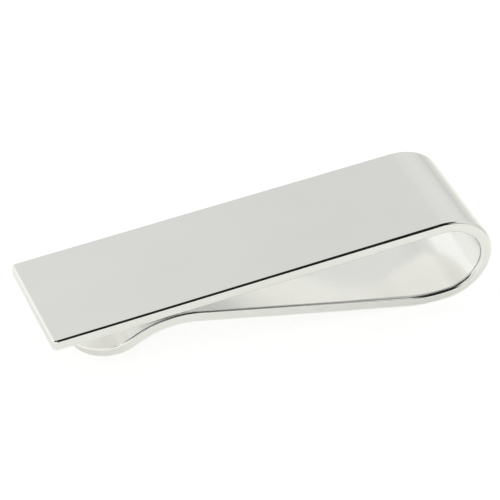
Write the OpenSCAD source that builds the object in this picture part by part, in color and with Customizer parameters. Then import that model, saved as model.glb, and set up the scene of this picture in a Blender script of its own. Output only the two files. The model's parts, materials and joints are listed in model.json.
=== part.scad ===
// Money clip: one strip of polished metal, folded into a flat face plate, a round spring
// bend and a leaf that rises back to grip notes against the underside of the plate.
// The strip is divided where it flexes, so each zone below is one solid of the chain.

/* [Strip] */
// Width of the strip
strip_w = 15; // [13:0.5:19]
// Thickness of the strip
strip_t = 1.65; // [1.5:0.05:1.8]
// Radius of the broken long edges
edge_r = 0.3; // [0.1:0.05:0.4]

/* [Face plate] */
// Straight length of the face plate
plate_l = 51; // [48:0.5:56]
// Plan radius of the free end's two corners
corner_r = 0.6; // [0.4:0.1:3]

/* [Spring bend] */
// Mid-line radius of the shoulder that leaves the plate
shoulder_r = 6.85; // [6.4:0.05:7.2]
// Turn of the shoulder, in degrees
shoulder_turn = 72.5; // [70:0.5:76]
// Mid-line radius of the crown, the tightest zone
crown_r = 5.2; // [4.8:0.05:5.6]
// Turn of the crown, in degrees
crown_turn = 104; // [101:0.5:106]
// Mid-line radius of the heel, the zone that the clip stands on
heel_r = 17.5; // [16:0.1:19]

/* [Spring leaf] */
// Straight length of the leaf, from the heel to the crest
leaf_l = 29.5; // [27:0.5:31]
// Clear gap between the crest and the plate when the clip is closed
crest_gap = 0.15; // [0.1:0.05:0.5]
// Mid-line radius of the crest
crest_r = 10.7; // [9:0.1:12]

/* [Thumb lip] */
// Slope of the strip where it leaves the crest, in degrees from the plate
ramp_slope = 35.5; // [33:0.5:38]
// Mid-line radius of the crisp fold between the crest and the lip
fold_r = 4.9; // [4:0.1:6]
// Slope of the lip, in degrees from the plate
lip_slope = 23.5; // [22:0.5:26]
// Straight length of the lip, from the fold to its tip
lip_l = 4.8; // [4.4:0.1:5.6]

/* [Hidden] */
$fn = 96;

// The side view is drawn in the plate's own plane: u along the plate from its free end,
// v up from its mid-plane. A pose is [u, v, heading], with the heading in degrees from u.

// Rise of the leaf from the plate's direction. It puts the top of the crest one crest_gap
// below the plate, which gives a * sin(rise) - b * cos(rise) = c.
bend_turn = shoulder_turn + crown_turn;
bend_v = shoulder_r * (cos(shoulder_turn) - 1) + crown_r * (cos(bend_turn) - cos(shoulder_turn));
arcs_r = heel_r + crest_r;
rise_c = heel_r * cos(bend_turn) - crest_r - bend_v - strip_t - crest_gap;
leaf_rise = atan2(arcs_r, leaf_l) + asin(rise_c / norm([leaf_l, arcs_r]));
heel_turn = 180 + leaf_rise - bend_turn;

// Each zone is [length, 0] if it is straight, or [mid-line radius, signed turn] if it bends.
ZONES = [
    [plate_l, 0],
    [shoulder_r, -shoulder_turn],
    [crown_r, -crown_turn],
    [heel_r, -heel_turn],
    [leaf_l / 3, 0],
    [leaf_l / 3, 0],
    [leaf_l / 3, 0],
    [crest_r, leaf_rise + ramp_slope],
    [fold_r, lip_slope - ramp_slope],
    [lip_l, 0]
];
PLATE = 0;
SHOULDER = 1;
CROWN = 2;
HEEL = 3;
ROOT = 4;
MIDDLE = 5;
NECK = 6;
CREST = 7;
FOLD = 8;
LIP = 9;
END = 10;

function ahead(h) = [cos(h), sin(h)];
function outward(h) = [-sin(h), cos(h)];

// Centre of the zone's arc, which lies on the side that it turns to
function arc_centre(pose, zone) =
    [pose[0], pose[1]] + sign(zone[1]) * zone[0] * outward(pose[2]);

function after_straight(pose, zone) =
    let (end = [pose[0], pose[1]] + zone[0] * ahead(pose[2]))
    [end[0], end[1], pose[2]];

function after_arc(pose, zone) =
    let (heading = pose[2] + zone[1])
    let (end = arc_centre(pose, zone) - sign(zone[1]) * zone[0] * outward(heading))
    [end[0], end[1], heading];

function after(pose, zone) = zone[1] == 0 ? after_straight(pose, zone) : after_arc(pose, zone);

// Pose at the start of zone i, and at the lip's tip for i = END
function pose_at(i) = i == PLATE ? [0, 0, 0] : after(pose_at(i - 1), ZONES[i - 1]);

// The clip stands on its heel and on the tip of its lip. The ground touches both circles.
heel_c = arc_centre(pose_at(HEEL), ZONES[HEEL]);
heel_reach = heel_r + strip_t / 2;
tip_pose = pose_at(END);
tip_c = [tip_pose[0], tip_pose[1]] - edge_r * ahead(tip_pose[2])
    + (strip_t / 2 - edge_r) * outward(tip_pose[2]);
heel_to_tip = tip_c - heel_c;
down = atan2(heel_to_tip[1], heel_to_tip[0])
    + acos((heel_reach - edge_r) / norm(heel_to_tip));
tilt = -90 - down;
ground = heel_c * ahead(down) + heel_reach;

// The origin is under the middle of the clip's length
crown_c = arc_centre(pose_at(CROWN), ZONES[CROWN]);
x_right = crown_c * ahead(-tilt) + crown_r + strip_t / 2;
x_left = -sin(tilt) * strip_t / 2;
x_mid = (x_left + x_right) / 2;

tongue_r = strip_w / 2;
past = 1;

// Takes the side view's frame to the frame of the clip as it stands
module standing() {
    translate([-x_mid, 0, ground])
        rotate([0, -tilt, 0])
            children();
}

// Puts a child's x along the strip and its z out of the strip's outer face
module at_pose(pose) {
    translate([pose[0], 0, pose[1]])
        rotate([0, -pose[2], 0])
            children();
}

// Rectangle with round corners, centred on the origin
module round_rect(size, r) {
    square([size[0] - 2 * r, size[1]], center = true);
    square([size[0], size[1] - 2 * r], center = true);
    for (x = [-1, 1], y = [-1, 1])
        translate([x * (size[0] / 2 - r), y * (size[1] / 2 - r)])
            circle(r);
}

module section() {
    round_rect([strip_t, strip_w], edge_r);
}

module straight_zone(length) {
    rotate([0, 90, 0])
        linear_extrude(length)
            section();
}

module arc_zone(radius, turn) {
    side = sign(turn);
    first = side > 0 ? -90 : 90 - abs(turn);
    translate([0, 0, side * radius])
        rotate([90, 0, 0])
            rotate([0, 0, first])
                rotate_extrude(angle = abs(turn))
                    translate([radius, 0])
                        section();
}

module zone(i) {
    at_pose(pose_at(i)) {
        if (ZONES[i][1] == 0) {
            straight_zone(ZONES[i][0]);
        } else {
            arc_zone(ZONES[i][0], ZONES[i][1]);
        }
    }
}

// Cutter with the plate's outline: the free end has two round corners
module plate_outline() {
    length = plate_l + 2 * past;
    translate([length / 2, 0, 0])
        linear_extrude(strip_t + 2 * past, center = true)
            round_rect([length, strip_w], corner_r);
}

// Cutter with the lip's outline: full width, ending in a half circle at the tip
module tongue_outline() {
    depth = 8 * strip_t;
    reach = crest_r + leaf_l / 3;
    at_pose(pose_at(LIP)) {
        translate([lip_l - tongue_r, 0, -depth / 2]) {
            cylinder(r = tongue_r, h = depth);
            translate([-reach, -tongue_r, 0])
                cube([reach, strip_w, depth]);
        }
    }
}

// Half of a disc's outline, with its rim's edges broken like the strip's
module rim_half() {
    intersection() {
        round_rect([strip_w, strip_t], edge_r);
        translate([0, -strip_t])
            square([strip_w, 2 * strip_t]);
    }
}

// Flat face, decorated or engraved on its outer side
module face_plate() {
    color("silver")
        standing()
            intersection() {
                zone(PLATE);
                plate_outline();
            }
}

// First stretch of the spring bend
module upper_shoulder() {
    color("gainsboro")
        standing()
            zone(SHOULDER);
}

// Tightest stretch of the spring bend, at the clip's closed end
module bend_crown() {
    color("gainsboro")
        standing()
            zone(CROWN);
}

// Last stretch of the spring bend, which the clip stands on
module lower_heel() {
    color("gainsboro")
        standing()
            zone(HEEL);
}

// Straight spring leaf, in three equal stretches that flex in turn
module leaf_root() {
    color("silver")
        standing()
            zone(ROOT);
}

module leaf_middle() {
    color("silver")
        standing()
            zone(MIDDLE);
}

module leaf_neck() {
    color("silver")
        standing()
            zone(NECK);
}

// Crest that presses the notes against the plate
module grip_crest() {
    color("gainsboro")
        standing()
            intersection() {
                zone(CREST);
                tongue_outline();
            }
}

// Crisp fold that turns the end of the crest out into the lip
module lip_fold() {
    color("gainsboro")
        standing()
            intersection() {
                zone(FOLD);
                tongue_outline();
            }
}

// Round-ended tongue that guides the notes in
module thumb_lip() {
    color("silver")
        standing()
            at_pose(pose_at(LIP))
                intersection() {
                    translate([lip_l - tongue_r, 0, 0])
                        rotate_extrude()
                            rim_half();
                    translate([0, -strip_w, -strip_t])
                        cube([lip_l + past, 2 * strip_w, 2 * strip_t]);
                }
}

face_plate();
upper_shoulder();
bend_crown();
lower_heel();
leaf_root();
leaf_middle();
leaf_neck();
grip_crest();
lip_fold();
thumb_lip();
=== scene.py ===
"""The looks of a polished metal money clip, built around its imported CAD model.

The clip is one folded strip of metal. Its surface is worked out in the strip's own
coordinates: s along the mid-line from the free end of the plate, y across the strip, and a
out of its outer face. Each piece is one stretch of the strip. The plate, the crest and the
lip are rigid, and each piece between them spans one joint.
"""

import json
import math

import bpy
import numpy as np
from mathutils import Matrix, Vector


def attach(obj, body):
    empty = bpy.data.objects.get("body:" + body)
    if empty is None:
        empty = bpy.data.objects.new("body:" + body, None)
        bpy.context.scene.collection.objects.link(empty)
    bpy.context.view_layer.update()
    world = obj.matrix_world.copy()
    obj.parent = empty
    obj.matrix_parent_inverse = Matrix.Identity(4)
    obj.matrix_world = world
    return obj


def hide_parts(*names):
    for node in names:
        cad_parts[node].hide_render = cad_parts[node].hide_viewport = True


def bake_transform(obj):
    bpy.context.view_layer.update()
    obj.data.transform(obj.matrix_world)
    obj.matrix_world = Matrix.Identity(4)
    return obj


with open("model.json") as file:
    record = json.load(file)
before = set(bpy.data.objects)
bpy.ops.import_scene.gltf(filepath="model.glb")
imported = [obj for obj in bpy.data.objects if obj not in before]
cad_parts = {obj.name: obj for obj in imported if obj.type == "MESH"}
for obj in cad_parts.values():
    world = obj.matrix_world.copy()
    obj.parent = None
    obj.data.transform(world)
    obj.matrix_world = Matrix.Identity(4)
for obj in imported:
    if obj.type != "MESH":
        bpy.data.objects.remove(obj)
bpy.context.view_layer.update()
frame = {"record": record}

MM = 0.001

# The long edges' radii, where the CAD source has 0.3 mm all along: outside, inside, and
# round the bend, where forming swells them. The swelling comes and goes over these lengths.
EDGE_R = 0.37 * MM
INNER_EDGE_R = 0.28 * MM
SWOLLEN_EDGE_R = 0.5 * MM
SWELL_FADE_IN = 4 * MM
SWELL_FADE_OUT = 14 * MM

# The strip and its zones, the same as in the CAD source
STRIP_W = 15 * MM
STRIP_T = 1.65 * MM
CORNER_R = 0.6 * MM
TONGUE_R = STRIP_W / 2

PLATE_L = 51 * MM
SHOULDER_R, SHOULDER_TURN = 6.85 * MM, 72.5
CROWN_R, CROWN_TURN = 5.2 * MM, 104.0
HEEL_R = 17.5 * MM
LEAF_L = 29.5 * MM
CREST_GAP = 0.15 * MM
CREST_R = 10.7 * MM
RAMP_SLOPE = 35.5
FOLD_R = 4.9 * MM
LIP_SLOPE = 23.5
LIP_L = 4.8 * MM


def leaf_rise():
    """Rise of the leaf from the plate's direction that leaves the crest its gap, in degrees."""
    end_turn = math.radians(SHOULDER_TURN + CROWN_TURN)
    first_turn = math.radians(SHOULDER_TURN)
    bend_drop = SHOULDER_R * (math.cos(first_turn) - 1)
    bend_drop += CROWN_R * (math.cos(end_turn) - math.cos(first_turn))
    arcs_r = HEEL_R + CREST_R
    rest = HEEL_R * math.cos(end_turn) - CREST_R - bend_drop - STRIP_T - CREST_GAP
    slope = math.atan2(arcs_r, LEAF_L) + math.asin(rest / math.hypot(LEAF_L, arcs_r))
    return math.degrees(slope)


RISE = leaf_rise()
HEEL_TURN = 180 + RISE - SHOULDER_TURN - CROWN_TURN

# Length and signed turn in degrees of each zone along the mid-line
ZONES = {
    "plate": (PLATE_L, 0),
    "shoulder": (SHOULDER_R * math.radians(SHOULDER_TURN), -SHOULDER_TURN),
    "crown": (CROWN_R * math.radians(CROWN_TURN), -CROWN_TURN),
    "heel": (HEEL_R * math.radians(HEEL_TURN), -HEEL_TURN),
    "root": (LEAF_L / 3, 0),
    "middle": (LEAF_L / 3, 0),
    "neck": (LEAF_L / 3, 0),
    "crest": (CREST_R * math.radians(RISE + RAMP_SLOPE), RISE + RAMP_SLOPE),
    "fold": (FOLD_R * math.radians(RAMP_SLOPE - LIP_SLOPE), LIP_SLOPE - RAMP_SLOPE),
    "lip": (LIP_L, 0),
}


# Puts a distance that lies on a boundary into the zone that starts there
BOUNDARY_SLACK = 1e-9


class Path:
    """The strip's mid-line in the row frame's XZ plane."""

    def __init__(self, start, heading):
        self.s0, self.point0, self.heading0, self.curvature = [], [], [], []
        self.starts = {}
        s, point = 0.0, np.array(start, float)
        for name, (length, turn) in ZONES.items():
            self.starts[name] = s
            self.s0.append(s)
            self.point0.append(point)
            self.heading0.append(heading)
            self.curvature.append(math.radians(turn) / length)
            s += length
            point = self._along(len(self.s0) - 1, np.array([s]))[0][0]
            heading += math.radians(turn)
        self.length = s

    def _along(self, zone, s):
        """(points, headings) at the distances s, which lie in one zone"""
        k, h0 = self.curvature[zone], self.heading0[zone]
        gone = s - self.s0[zone]
        h = h0 + k * gone
        if k == 0:
            steps = np.stack([gone * math.cos(h0), gone * math.sin(h0)], 1)
        else:
            steps = np.stack([np.sin(h) - math.sin(h0), math.cos(h0) - np.cos(h)], 1) / k
        return self.point0[zone] + steps, h

    def at(self, s):
        """(points, headings, curvatures) at the distances s"""
        s = np.asarray(s, float)
        zones = np.searchsorted(np.array(self.s0), s + BOUNDARY_SLACK, side="right") - 1
        points, headings = np.zeros((len(s), 2)), np.zeros(len(s))
        for zone in np.unique(zones):
            here = zones == zone
            points[here], headings[here] = self._along(zone, s[here])
        return points, headings, np.array(self.curvature)[zones]

    def middle(self, name):
        return self.starts[name] + ZONES[name][0] / 2

    def place(self, s):
        """The mid-line's point at one distance s, as a 3-D vector in the row frame"""
        point = self.at([s])[0][0]
        return Vector((point[0], 0, point[1]))


def strip_path():
    """The mid-line, set by the CAD record's mount in the middle of the plate's outer face"""
    face = next(m for m in frame["record"]["mounts"] if m["name"] == "face")
    out = np.array([face["axis"][0], face["axis"][2]])
    ahead = np.array([out[1], -out[0]])
    centre = np.array([face["pos_m"][0], face["pos_m"][2]])
    start = centre - out * STRIP_T / 2 - ahead * PLATE_L / 2
    return Path(start, math.atan2(ahead[1], ahead[0]))


path = strip_path()

# Across the strip, a section has a rim on each side. A rim's levels run from the outer face
# over the broken edge, down the side and round to the inner face: inset, height, and the
# sideways and upward parts of the normal.
FILLET_STEPS = 6
ROWS = 6


def swell(s):
    """How swollen the edges are: 1 round the bend, and 0 on the plate and the leaf's end"""
    fade_in = (s - path.middle("shoulder")) / SWELL_FADE_IN
    fade_out = (path.starts["root"] + SWELL_FADE_OUT - s) / SWELL_FADE_OUT
    share = min(max(min(fade_in, fade_out), 0), 1)
    return share * share * (3 - 2 * share)


def rim_levels(s):
    """The levels of the section at the distance s, which sets its edge radii"""
    levels = []
    outer = EDGE_R + (SWOLLEN_EDGE_R - EDGE_R) * swell(s)
    inner = INNER_EDGE_R + (SWOLLEN_EDGE_R - INNER_EDGE_R) * swell(s)
    for side, radius, first, last in ((1, outer, 90, 0), (-1, inner, 0, -90)):
        for angle in np.radians(np.linspace(first, last, FILLET_STEPS + 1)):
            inset = radius * (1 - math.cos(angle))
            height = side * (STRIP_T / 2 - radius) + radius * math.sin(angle)
            levels.append((inset, height, math.cos(angle), math.sin(angle)))
    return levels


LAST_LEVEL = 2 * FILLET_STEPS + 1


def ring(rim, edges_at=0.0):
    """One section's closed loop of points and normals in strip coordinates.

    rim(inset) gives s, y, and the outline's normal along s and y, on the side where y > 0.
    The section has the edge radii of the distance edges_at.
    """
    right, right_n = [], []
    for inset, height, sideways, upward in rim_levels(edges_at):
        s, y, normal_s, normal_y = rim(inset)
        right.append((s, y, height))
        right_n.append((sideways * normal_s, sideways * normal_y, upward))
    mirror = np.array([1, -1, 1])
    left, left_n = np.array(right) * mirror, np.array(right_n) * mirror
    shares = np.linspace(1, -1, ROWS + 1)[1:-1]
    under = [(right[-1][0], right[-1][1] * f, right[-1][2]) for f in shares]
    over = [(right[0][0], right[0][1] * -f, right[0][2]) for f in shares]
    points = np.vstack([right, under, left[::-1], over])
    normals = np.vstack(
        [right_n, [(0, 0, -1)] * len(shares), left_n[::-1], [(0, 0, 1)] * len(shares)]
    )
    return points, normals


def straight_ring(s):
    return ring(lambda inset: (s, STRIP_W / 2 - inset, 0, 1), edges_at=s)


def corner_ring(angle):
    """A ring through the plate's round corners, from 0 at the end face to 90 at the sides"""
    sine, cosine = math.sin(math.radians(angle)), math.cos(math.radians(angle))

    def rim(inset):
        r = CORNER_R - inset
        return CORNER_R - r * cosine, STRIP_W / 2 - CORNER_R + r * sine, -cosine, sine

    return ring(rim)


def tongue_ring(angle):
    """A ring through the half round of the lip, from 0 at the sides to 90 at the tip"""
    sine, cosine = math.sin(math.radians(angle)), math.cos(math.radians(angle))
    if angle == 90:
        cosine = 0.0  # exactly, so that both sides of the tip's ring are the same points

    def rim(inset):
        r = TONGUE_R - inset
        return path.length - TONGUE_R + r * sine, r * cosine, sine, cosine

    return ring(rim)


def on_strip(points, normals):
    """Takes points and normals from strip coordinates to the row frame"""
    centres, headings, curvatures = path.at(points[:, 0])
    sine, cosine = np.sin(headings), np.cos(headings)
    zero = np.zeros(len(points))
    ahead = np.stack([cosine, zero, sine], 1)
    out = np.stack([-sine, zero, cosine], 1)
    middle = np.stack([centres[:, 0], points[:, 1], centres[:, 1]], 1)
    placed = middle + points[:, 2:] * out
    stretch = 1 - points[:, 2] * curvatures
    turned = (normals[:, 0] / stretch)[:, None] * ahead + normals[:, 2:] * out
    turned[:, 1] += normals[:, 1]
    turned /= np.linalg.norm(turned, axis=1)[:, None]
    return placed, turned


def merged_tip(loop):
    """The tip's ring as a single line of points, where its two rims and its rows meet"""
    right = loop[: LAST_LEVEL + 1]
    under = [right[-1]] * (ROWS - 1)
    over = [right[0]] * (ROWS - 1)
    return right + under + right[::-1] + over


class Builder:
    """Collects the vertices and faces of one piece in strip coordinates"""

    def __init__(self):
        self.points, self.normals, self.faces, self.face_normals = [], [], [], []

    def add(self, points, normals):
        first = len(self.points)
        self.points.extend(map(tuple, points))
        self.normals.extend(map(tuple, normals))
        return list(range(first, len(self.points)))

    def face(self, corners, flat_normal=None):
        """A face without its repeated corners. flat_normal is along s, for a flat cap."""
        kept = [c for i, c in enumerate(corners) if c != corners[i - 1]]
        if len(kept) > 2:
            self.faces.append(kept)
            self.face_normals.append(flat_normal)

    def loft(self, first, second):
        """Joins two rings of the same number of points"""
        for k in range(len(first)):
            after = (k + 1) % len(first)
            self.face([first[k], second[k], second[after], first[after]])

    def round_end(self, loop):
        """Closes the plate's free end, whose edges are broken like the sides"""
        grid = [[None] * (LAST_LEVEL + 1) for _ in range(ROWS + 1)]
        left_side = loop[LAST_LEVEL + ROWS : 2 * LAST_LEVEL + ROWS + 1]
        grid[0] = loop[: LAST_LEVEL + 1]
        grid[ROWS] = left_side[::-1]
        over = loop[2 * LAST_LEVEL + ROWS + 1 :][::-1]
        under = loop[LAST_LEVEL + 1 : LAST_LEVEL + ROWS]
        half = STRIP_W / 2 - CORNER_R
        levels = rim_levels(0.0)
        for row in range(1, ROWS):
            grid[row][0], grid[row][LAST_LEVEL] = over[row - 1], under[row - 1]
            y = half * (1 - 2 * row / ROWS)
            for level in range(1, LAST_LEVEL):
                inset, height, sideways, upward = levels[level]
                grid[row][level] = self.add([(inset, y, height)], [(-sideways, 0, upward)])[0]
        for row in range(ROWS):
            for level in range(LAST_LEVEL):
                a, b = grid[row], grid[row + 1]
                self.face([a[level], a[level + 1], b[level + 1], b[level]])

    def mesh(self, name):
        points, normals = np.array(self.points, float), np.array(self.normals, float)
        placed, turned = on_strip(points, normals)
        used = sorted({c for face in self.faces for c in face})
        renumbered = {old: new for new, old in enumerate(used)}
        faces = [[renumbered[c] for c in face] for face in self.faces]
        mesh = bpy.data.meshes.new(name)
        mesh.from_pydata(placed[used].tolist(), [], faces)
        mesh.polygons.foreach_set("use_smooth", [True] * len(mesh.polygons))
        corner_normals = []
        for face, flat in zip(self.faces, self.face_normals):
            if flat is None:
                corner_normals.extend(turned[c] for c in face)
            else:
                heading = path.at(points[face[:1], 0])[1][0]
                cap = (flat * math.cos(heading), 0, flat * math.sin(heading))
                corner_normals.extend([cap] * len(face))
        mesh.normals_split_custom_set([tuple(n) for n in corner_normals])
        strip_place = mesh.attributes.new("strip_place", "FLOAT_VECTOR", "POINT")
        strip_place.data.foreach_set("vector", (points[used] / MM).astype(np.float32).ravel())
        sideways = np.hypot(normals[used, 0], normals[used, 1])
        rim_share = mesh.attributes.new("rim_share", "FLOAT", "POINT")
        rim_share.data.foreach_set("value", sideways.astype(np.float32))
        mesh.validate()
        mesh.update()
        return mesh


# The longest steps between rings, and the rings' angles round the corners and the lip. The
# lip's rings stop short of its tip, where the last one closes to a line.
STRAIGHT_STEP = 2.5 * MM
TURN_STEP = math.radians(1.5)
CORNER_ANGLES = np.linspace(0, 90, 13)
TONGUE_ANGLES = [*np.linspace(0, 88, 45), 90]


def stations(first, last):
    """Distances along the strip from first to last, closest together where it turns"""
    edges = sorted({first, last, *(s for s in path.s0 if first < s < last)})
    found = [first]
    for a, b in zip(edges, edges[1:]):
        curvature = path.at([(a + b) / 2])[2][0]
        steps = max((b - a) / STRAIGHT_STEP, abs(curvature) * (b - a) / TURN_STEP)
        found.extend(np.linspace(a, b, max(1, math.ceil(steps)) + 1)[1:])
    return found


def strip_piece(name, first, last, material, free_end=False, tongue=False):
    """A closed stretch of the strip from first to last, or to either end of the strip"""
    builder = Builder()
    if free_end:
        rings = [corner_ring(angle) for angle in CORNER_ANGLES[:-1]]
        rings += [straight_ring(s) for s in stations(CORNER_R, last)]
    elif tongue:
        rings = [tongue_ring(angle) for angle in TONGUE_ANGLES]
    else:
        rings = [straight_ring(s) for s in stations(first, last)]
    loops = [builder.add(*r) for r in rings]
    if free_end:
        builder.round_end(loops[0])
    else:
        builder.face(loops[0], -1)
    if tongue:
        loops[-1] = merged_tip(loops[-1])
    else:
        builder.face(loops[-1][::-1], 1)
    for one, other in zip(loops, loops[1:]):
        builder.loft(one, other)
    piece = bpy.data.objects.new(name, builder.mesh(name))
    bpy.context.scene.collection.objects.link(piece)
    piece.data.materials.append(material)
    return piece


def new_node(tree, kind, **settings):
    node = tree.nodes.new(kind)
    for key, value in settings.items():
        if key in node.inputs:
            node.inputs[key].default_value = value
        else:
            setattr(node, key, value)
    return node


NOISE_ROUGHNESS = 0.55


def strip_noise(tree, place, pattern):
    """Noise in strip coordinates, from a pattern of (scale, detail, shift)"""
    scale, detail, shift = pattern
    stretch = new_node(tree, "ShaderNodeMapping", Scale=scale, Location=(shift,) * 3)
    tree.links.new(place, stretch.inputs["Vector"])
    noise = new_node(
        tree, "ShaderNodeTexNoise", Scale=1.0, Detail=detail, Roughness=NOISE_ROUGHNESS
    )
    tree.links.new(stretch.outputs["Vector"], noise.inputs["Vector"])
    return noise.outputs["Fac"]


def remapped(tree, value, span, new_span):
    """Takes a value from one (low, high) span to another, and keeps it inside"""
    node = new_node(tree, "ShaderNodeMapRange")
    node.inputs["From Min"].default_value, node.inputs["From Max"].default_value = span
    node.inputs["To Min"].default_value, node.inputs["To Max"].default_value = new_span
    tree.links.new(value, node.inputs["Value"])
    return node.outputs["Result"]


def added(tree, first, second):
    node = new_node(tree, "ShaderNodeMath", operation="ADD")
    tree.links.new(first, node.inputs[0])
    tree.links.new(second, node.inputs[1])
    return node.outputs[0]


def mixed_colour(tree, share, first, second, blend="MIX"):
    """Mixes two colours, each one a tuple or a socket"""
    node = new_node(tree, "ShaderNodeMix", data_type="RGBA", blend_type=blend)
    tree.links.new(share, node.inputs["Factor"])
    for socket, colour in (("A", first), ("B", second)):
        target = next(s for s in node.inputs if s.name == socket and s.type == "RGBA")
        if isinstance(colour, tuple):
            target.default_value = (*colour, 1)
        else:
            tree.links.new(colour, target)
    return next(s for s in node.outputs if s.type == "RGBA")


def bumped(tree, height, distance, below=None):
    node = new_node(tree, "ShaderNodeBump", Strength=1.0, Distance=distance)
    tree.links.new(height, node.inputs["Height"])
    if below is not None:
        tree.links.new(below, node.inputs["Normal"])
    return node.outputs["Normal"]


MICRON = 1e-6
WHOLE = (0, 1)

# Bright nickel plate on the faces, and the duller, tumbled metal of the cut rim
FACE_TINT = (0.935, 0.935, 0.933)
FACE_STAIN = (0.917, 0.914, 0.907)
RIM_TINT = (0.845, 0.856, 0.842)
RIM_STAIN = (0.820, 0.830, 0.815)

# Noise patterns: patches per millimetre along, across and out of the strip, the noise's
# detail, and a shift that keeps one pattern from repeating another. Hairlines run along the
# strip, and are a few hundredths of a millimetre wide.
FACE_CLOUDS = ((0.09, 0.14, 0.14), 3.0, 0.0)
RIM_CLOUDS = ((0.5, 0.9, 2.0), 3.0, 0.0)
HAIRLINES = ((0.12, 16.0, 16.0), 4.0, 0.0)
SCUFFS = ((1.6, 2.4, 2.4), 5.0, 31.0)
WAVES = ((0.22, 0.3, 0.3), 1.5, 7.0)
CLOUD_SPAN = (0.35, 0.7)
HAIRLINE_SPAN = (0.35, 0.75)
SCUFF_SPAN = (0.55, 0.78)

# How far a normal points sideways where the rim's metal begins, and where the edge is worn
RIM_SPAN = (0.9, 0.99)
EDGE_SPAN = (0.05, 0.6)
# Height in the strip, in millimetres, below which a point is on its inner face
INSIDE_SPAN = (-0.7, -0.6)

# Roughness of the hairlines, and what scuffs, worn edges and the unbuffed inside add to it
HAIRLINE_ROUGHNESS = (0.035, 0.085)
SCUFF_ROUGHNESS = 0.05
WORN_ROUGHNESS = 0.04
INSIDE_ROUGHNESS = 0.11

PITS_PER_MM = 1.3
PIT_SPAN = (0.02, 0.05)
PIT_DEPTH = 0.4 * MICRON


def metal_colour(tree, place, sideways):
    """Face and rim colours, each with faint cloudy stains in the plating"""
    on_rim = remapped(tree, sideways, RIM_SPAN, WHOLE)
    clouds = remapped(tree, strip_noise(tree, place, FACE_CLOUDS), CLOUD_SPAN, WHOLE)
    face_colour = mixed_colour(tree, clouds, FACE_TINT, FACE_STAIN)
    rim_clouds = remapped(tree, strip_noise(tree, place, RIM_CLOUDS), CLOUD_SPAN, WHOLE)
    rim_colour = mixed_colour(tree, rim_clouds, RIM_TINT, RIM_STAIN)
    return mixed_colour(tree, on_rim, face_colour, rim_colour)


def metal_roughness(tree, place, sideways, hairlines):
    edge = remapped(tree, sideways, EDGE_SPAN, WHOLE)
    scuffed = remapped(tree, strip_noise(tree, place, SCUFFS), SCUFF_SPAN, (0, SCUFF_ROUGHNESS))
    lined = remapped(tree, hairlines, HAIRLINE_SPAN, HAIRLINE_ROUGHNESS)
    worn = remapped(tree, edge, WHOLE, (0, WORN_ROUGHNESS))
    split = new_node(tree, "ShaderNodeSeparateXYZ")
    tree.links.new(place, split.inputs["Vector"])
    inside = remapped(tree, split.outputs["Z"], INSIDE_SPAN, (INSIDE_ROUGHNESS, 0))
    return added(tree, added(tree, added(tree, lined, scuffed), worn), inside)


def metal_normal(tree, place, hairlines, hairline_depth, waviness):
    """The buffed sheet is never quite flat, and tiny pits are left from the plating"""
    waves = bumped(tree, strip_noise(tree, place, WAVES), waviness)
    lines = bumped(tree, hairlines, hairline_depth, waves)
    pits = new_node(tree, "ShaderNodeTexVoronoi", Scale=PITS_PER_MM, Randomness=1.0)
    tree.links.new(place, pits.inputs["Vector"])
    dots = remapped(tree, pits.outputs["Distance"], PIT_SPAN, WHOLE)
    return bumped(tree, dots, PIT_DEPTH, lines)


def polished_metal(name, hairline_depth, waviness):
    """Plated and polished metal. hairline_depth and waviness are heights in metres."""
    material = bpy.data.materials.new(name)
    material.use_nodes = True
    tree = material.node_tree
    tree.nodes.clear()
    output = new_node(tree, "ShaderNodeOutputMaterial")
    metal = new_node(tree, "ShaderNodeBsdfPrincipled", Metallic=1.0)
    tree.links.new(metal.outputs["BSDF"], output.inputs["Surface"])
    place = new_node(tree, "ShaderNodeAttribute", attribute_name="strip_place").outputs["Vector"]
    sideways = new_node(tree, "ShaderNodeAttribute", attribute_name="rim_share").outputs["Fac"]
    hairlines = strip_noise(tree, place, HAIRLINES)
    colour = metal_colour(tree, place, sideways)
    roughness = metal_roughness(tree, place, sideways, hairlines)
    normal = metal_normal(tree, place, hairlines, hairline_depth, waviness)
    tree.links.new(colour, metal.inputs["Base Color"])
    tree.links.new(roughness, metal.inputs["Roughness"])
    tree.links.new(normal, metal.inputs["Normal"])
    return material


face_metal = polished_metal(
    "polished_face_metal", hairline_depth=0.05 * MICRON, waviness=6 * MICRON
)
spring_metal = polished_metal(
    "polished_spring_metal", hairline_depth=0.07 * MICRON, waviness=10 * MICRON
)

# The rigid front of the plate stops short of the bend, where the next piece begins
FLEXING_PLATE_L = 4 * MM
PLATE_END = PLATE_L - FLEXING_PLATE_L
cuts = {
    "shoulder": path.middle("shoulder"),
    "crown": path.middle("crown"),
    "heel": path.middle("heel"),
    "root": path.middle("root"),
    "middle": path.middle("middle"),
    "neck": path.middle("neck"),
    "tongue": path.length - TONGUE_R,
}

# Name, CAD node, first and last distance, the two bodies, and the joint's place on the strip
FLEXING = [
    ("upper_shoulder", PLATE_END, cuts["shoulder"], "plate", "shoulder", "shoulder"),
    ("bend_crown", cuts["shoulder"], cuts["crown"], "shoulder", "crown", "crown"),
    ("lower_heel", cuts["crown"], cuts["heel"], "crown", "heel", "heel"),
    ("leaf_root", cuts["heel"], cuts["root"], "heel", "root_leaf", "root"),
    ("leaf_middle", cuts["root"], cuts["middle"], "root_leaf", "middle_leaf", "middle"),
    ("leaf_neck", cuts["middle"], cuts["neck"], "middle_leaf", "tip", "neck"),
]
# Share of a piece, on either side of its joint, at which its start and end places round the
# joint are worked out
BLENDED_SHARE = 0.75

plate = strip_piece("face_plate_strip", 0, PLATE_END, face_metal, free_end=True)
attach(plate, "plate")
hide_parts("face_plate")

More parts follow.
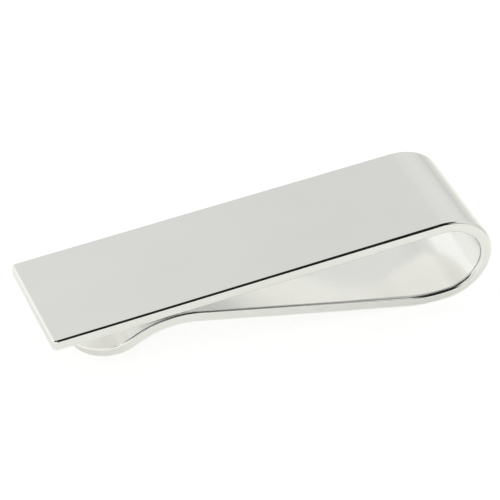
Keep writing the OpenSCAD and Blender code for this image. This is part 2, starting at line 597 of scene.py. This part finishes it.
for node, first, last, body, next_body, zone in FLEXING:
    piece = strip_piece(node + "_strip", first, last, spring_metal)
    hinge = path.starts[zone]
    start = path.place(hinge - BLENDED_SHARE * (hinge - first))
    end = path.place(hinge + BLENDED_SHARE * (last - hinge))
    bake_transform(piece)
    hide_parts(node)

crest = strip_piece(
    "grip_crest_strip", cuts["neck"], cuts["tongue"], spring_metal
)
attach(crest, "tip")
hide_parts("grip_crest")

lip = strip_piece(
    "thumb_lip_strip", cuts["tongue"], path.length, face_metal, tongue=True
)
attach(lip, "tip")
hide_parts("lip_fold", "thumb_lip")


def stage_mesh(name, points, faces, material):
    mesh = bpy.data.meshes.new(name)
    mesh.from_pydata(points, [], faces)
    panel = bpy.data.objects.new(name, mesh)
    bpy.context.scene.collection.objects.link(panel)
    mesh.materials.append(material)
    return panel


def flat_panel(name, corners, material):
    return stage_mesh(name, corners, [tuple(range(len(corners)))], material)


def reflections_only(panel):
    """Leaves a panel to the metal's reflections: nothing else meets it"""
    panel.visible_camera = False
    panel.visible_diffuse = False
    panel.visible_shadow = False
    panel.visible_transmission = False


MATT_ROUGHNESS = 0.9


def matt_material(name, grey, glow=0.0):
    """A surface with no gloss, which gives off the brightness glow by itself"""
    material = bpy.data.materials.new(name)
    material.use_nodes = True
    shader = material.node_tree.nodes["Principled BSDF"]
    shader.inputs["Base Color"].default_value = (grey, grey, grey, 1)
    shader.inputs["Roughness"].default_value = MATT_ROUGHNESS
    shader.inputs["Specular IOR Level"].default_value = 0.0
    shader.inputs["Emission Color"].default_value = (1, 1, 1, 1)
    shader.inputs["Emission Strength"].default_value = glow
    return material


# The floor is pale mostly by its own glow, so that the clip's shade on it stays faint. The
# metal reflects the table card below instead.
FLOOR_HALF = 2.0
FLOOR_GREY = 0.4
FLOOR_GLOW = 0.74


def floor_corners(height=0.0):
    signs = ((-1, -1), (1, -1), (1, 1), (-1, 1))
    return [(x * FLOOR_HALF, y * FLOOR_HALF, height) for x, y in signs]


floor_white = matt_material("floor_white", FLOOR_GREY, glow=FLOOR_GLOW)
floor = flat_panel("floor", floor_corners(), floor_white)
floor.visible_glossy = False

# Share of blue in the studio's slightly warm greys
WARMTH = 0.968

# Brightness of the studio's walls from left to right, as a share of the way across the sky
WALL_BRIGHTNESS = (
    (0.275, 0.985),
    (0.350, 0.875),
    (0.385, 0.810),
    (0.425, 0.770),
    (0.560, 0.748),
    (0.620, 0.705),
    (0.680, 0.738),
    (0.800, 0.765),
)
# The right wall is darker towards the floor, as a factor at each height in the sky. It
# begins over this span of the sky's own X.
WALL_FOOT = ((0.0, 0.80), (0.08, 0.87), (0.23, 0.96), (0.43, 1.0))
RIGHT_WALL_SPAN = (0.35, 0.6)


def ramp_node(tree, stops, blue=WARMTH):
    """A colour ramp of warm greys, from (position, brightness) pairs"""
    ramp = tree.nodes.new("ShaderNodeValToRGB")
    elements = ramp.color_ramp.elements
    while len(elements) < len(stops):
        elements.new(1.0)
    for element, (position, brightness) in zip(elements, stops):
        element.position = position
        element.color = (brightness, brightness, brightness * blue, 1)
    return ramp


def studio_world():
    world = bpy.data.worlds.new("studio")
    bpy.context.scene.world = world
    world.use_nodes = True
    tree = world.node_tree
    background = tree.nodes["Background"]
    direction = new_node(tree, "ShaderNodeTexCoord")
    split = new_node(tree, "ShaderNodeSeparateXYZ")
    tree.links.new(direction.outputs["Generated"], split.inputs["Vector"])
    walls = ramp_node(tree, WALL_BRIGHTNESS)
    across = remapped(tree, split.outputs["X"], (-1, 1), WHOLE)
    tree.links.new(across, walls.inputs["Fac"])
    foot = ramp_node(tree, WALL_FOOT, blue=1.0)
    tree.links.new(split.outputs["Z"], foot.inputs["Fac"])
    right_side = remapped(tree, split.outputs["X"], RIGHT_WALL_SPAN, WHOLE)
    shaded = mixed_colour(
        tree, right_side, walls.outputs["Color"], foot.outputs["Color"], blend="MULTIPLY"
    )
    tree.links.new(shaded, background.inputs["Color"])


studio_world()


def direction_to(azimuth, elevation):
    """The unit vector from the clip, with azimuth 0 towards -Y and 90 towards +X"""
    a, e = math.radians(azimuth), math.radians(elevation)
    return Vector((math.sin(a) * math.cos(e), -math.cos(a) * math.cos(e), math.sin(e)))


# The unlit side of the studio, as painted shade in the metal's reflections: black sheets by
# azimuth and elevation in degrees. In front they reach down to the table and end further
# round as they rise. To the left they hang overhead, and a further sheet hangs lower there.
DARK_OVERHEAD_FROM = -84
DARK_FRONT_FROM = 4
DARK_FRONT_TO_LOW, DARK_FRONT_TO_HIGH = 34, 74
DARK_SPREADS_FROM, DARK_SPREADS_TO = 20, 45
DARK_TOP = 79
DARK_HANGS_TO = 28
DARK_LEFT_FROM, DARK_LEFT_TO = -78, -24
DARK_LEFT_LOW, DARK_LEFT_HIGH = 18, 36

# Share of a curtain's size over which a faded side thins out
DARK_FADE = 0.12
DARK_DISTANCE = 0.6
DARK_GREY = 0.01
CURTAIN_STEPS = 40


def dark_front_end(elevation):
    """Where the front curtain ends: it spreads further round as it rises"""
    risen = (elevation - DARK_SPREADS_FROM) / (DARK_SPREADS_TO - DARK_SPREADS_FROM)
    share = min(max(risen, 0), 1)
    return DARK_FRONT_TO_LOW + (DARK_FRONT_TO_HIGH - DARK_FRONT_TO_LOW) * share


def painted_shade_sheet():
    """Painted shade for the metal's reflections: black sheets that thin out where their cover
    attribute falls
    """
    material = bpy.data.materials.new("painted_shade_sheet")
    material.use_nodes = True
    tree = material.node_tree
    tree.nodes.clear()
    output = new_node(tree, "ShaderNodeOutputMaterial")
    mix = new_node(tree, "ShaderNodeMixShader")
    clear = new_node(tree, "ShaderNodeBsdfTransparent")
    black = new_node(tree, "ShaderNodeBsdfDiffuse", Color=(DARK_GREY, DARK_GREY, DARK_GREY, 1))
    cover = new_node(tree, "ShaderNodeAttribute", attribute_name="cover")
    tree.links.new(cover.outputs["Fac"], mix.inputs[0])
    tree.links.new(clear.outputs[0], mix.inputs[1])
    tree.links.new(black.outputs[0], mix.inputs[2])
    tree.links.new(mix.outputs[0], output.inputs["Surface"])
    return material


# Black sheets of painted shade, which only the metal's reflections see
shade_sheets = painted_shade_sheet()


def shade_curtain(name, start, end, lowest, highest, faded_sides):
    """A sheet of painted shade, seen only in reflections, on a sphere about the clip, from
    azimuth start to end(elevation)
    """
    points, cover = [], []
    for up in np.linspace(0, 1, CURTAIN_STEPS + 1):
        elevation = lowest + (highest - lowest) * up
        for across in np.linspace(0, 1, CURTAIN_STEPS + 1):
            azimuth = start + (end(elevation) - start) * across
            points.append(direction_to(azimuth, elevation) * DARK_DISTANCE)
            margins = {"left": across, "right": 1 - across, "bottom": up, "top": 1 - up}
            nearest = min(margins[side] for side in faded_sides)
            cover.append(min(1.0, nearest / DARK_FADE))
    faces = []
    for row in range(CURTAIN_STEPS):
        for column in range(CURTAIN_STEPS):
            below = row * (CURTAIN_STEPS + 1) + column
            above = below + CURTAIN_STEPS + 1
            faces.append((below, below + 1, above + 1, above))
    panel = stage_mesh(name, points, faces, shade_sheets)
    cover_layer = panel.data.attributes.new("cover", "FLOAT", "POINT")
    cover_layer.data.foreach_set("value", cover)
    reflections_only(panel)


shade_curtain("dark_front", DARK_FRONT_FROM, dark_front_end, 0, DARK_TOP, ("right", "top"))
shade_curtain(
    "dark_overhead",
    DARK_OVERHEAD_FROM,
    lambda elevation: DARK_FRONT_FROM,
    DARK_HANGS_TO,
    DARK_TOP,
    ("left", "bottom", "top"),
)
shade_curtain(
    "dark_left",
    DARK_LEFT_FROM,
    lambda elevation: DARK_LEFT_TO,
    DARK_LEFT_LOW,
    DARK_LEFT_HIGH,
    ("left", "right", "bottom", "top"),
)

# Painted shade also covers the table in front, from this distance on: a black sheet that only
# the metal's reflections see. It lies just above the table card, which lies just above the
# floor.
DARK_TABLE_FROM = 42 * MM
DARK_TABLE_LEFT = DARK_FRONT_FROM - 27
DARK_TABLE_RIGHT = DARK_FRONT_TO_LOW + 10
DARK_TABLE_POINTS = 24
DARK_TABLE_HEIGHT = 0.2 * MM
TABLE_CARD_HEIGHT = 0.03 * MM


def painted_table_shade():
    azimuths = np.linspace(DARK_TABLE_LEFT, DARK_TABLE_RIGHT, DARK_TABLE_POINTS)
    corners = []
    for radius, order in ((DARK_TABLE_FROM, azimuths), (DARK_DISTANCE, azimuths[::-1])):
        for azimuth in order:
            flat = direction_to(azimuth, 0) * radius
            corners.append((flat.x, flat.y, DARK_TABLE_HEIGHT))
    # Black painted shade on the table in front
    black = matt_material("painted_table_shade", DARK_GREY)
    reflections_only(flat_panel("painted_table_shade", corners, black))


painted_table_shade()

# The table as the metal reflects it, with its light and shade painted on, by how far right of
# the origin it is in metres: the painted glow that it gives off itself, or where that is
# negative, what it loses of its base as painted shade
TABLE_BASE = 0.97
TABLE_GLOW = (
    (0.036, 0.18),
    (0.041, 0.18),
    (0.046, 0.12),
    (0.053, 0.05),
    (0.067, -0.06),
    (0.106, -0.12),
)


def table_card():
    """The table as the metal reflects it: shaded round the clip, with a painted glow, and
    painted shade that makes it darker to the right
    """
    reach = TABLE_GLOW[-1][0]
    material = matt_material("table_reflected", TABLE_BASE, glow=1.0)
    tree = material.node_tree
    shader = tree.nodes["Principled BSDF"]
    place = new_node(tree, "ShaderNodeTexCoord")
    split = new_node(tree, "ShaderNodeSeparateXYZ")
    tree.links.new(place.outputs["Object"], split.inputs["Vector"])
    right = remapped(tree, split.outputs["X"], (0, reach), WHOLE)
    # Painted light and shade: the card glows, and its glow and base fall towards the right
    glow = ramp_node(tree, [(x / reach, max(g, 0)) for x, g in TABLE_GLOW])
    base = ramp_node(tree, [(x / reach, TABLE_BASE + min(g, 0)) for x, g in TABLE_GLOW])
    tree.links.new(right, glow.inputs["Fac"])
    tree.links.new(right, base.inputs["Fac"])
    tree.links.new(glow.outputs["Color"], shader.inputs["Emission Color"])
    tree.links.new(base.outputs["Color"], shader.inputs["Base Color"])
    reflections_only(flat_panel("table_reflected", floor_corners(TABLE_CARD_HEIGHT), material))


table_card()

# The camera stands at the photograph's viewing angle: angles in degrees, and the lens and the
# sensor's width in millimetres
CAMERA_AZIMUTH = -27.94
CAMERA_ELEVATION = 39.53
CAMERA_ROLL = 7.17
CAMERA_DISTANCE = 328.25 * MM
CAMERA_AIM = Vector((-0.42, 1.04, 7.47)) * MM
SENSOR = 36
LENS = 190.36
NEAREST_SEEN, FARTHEST_SEEN = 0.01, 20


def studio_camera():
    data = bpy.data.cameras.new("camera")
    data.sensor_width = SENSOR
    data.lens = LENS
    data.clip_start = NEAREST_SEEN
    data.clip_end = FARTHEST_SEEN
    camera = bpy.data.objects.new("camera", data)
    bpy.context.scene.collection.objects.link(camera)
    back = direction_to(CAMERA_AZIMUTH, CAMERA_ELEVATION)
    look = back.to_track_quat("Z", "Y").to_matrix().to_4x4()
    roll = Matrix.Rotation(math.radians(CAMERA_ROLL), 4, "Z")
    camera.matrix_world = Matrix.Translation(CAMERA_AIM + back * CAMERA_DISTANCE) @ look @ roll
    bpy.context.scene.camera = camera


studio_camera()

# The leaf and the plate reflect each other many times over, and a ray may cross the
# curtains' thin margins several times
MIRROR_BOUNCES = 12
CURTAIN_CROSSINGS = 16
bpy.context.scene.view_settings.view_transform = "Standard"
bpy.context.scene.cycles.glossy_bounces = MIRROR_BOUNCES
bpy.context.scene.cycles.transparent_max_bounces = CURTAIN_CROSSINGS
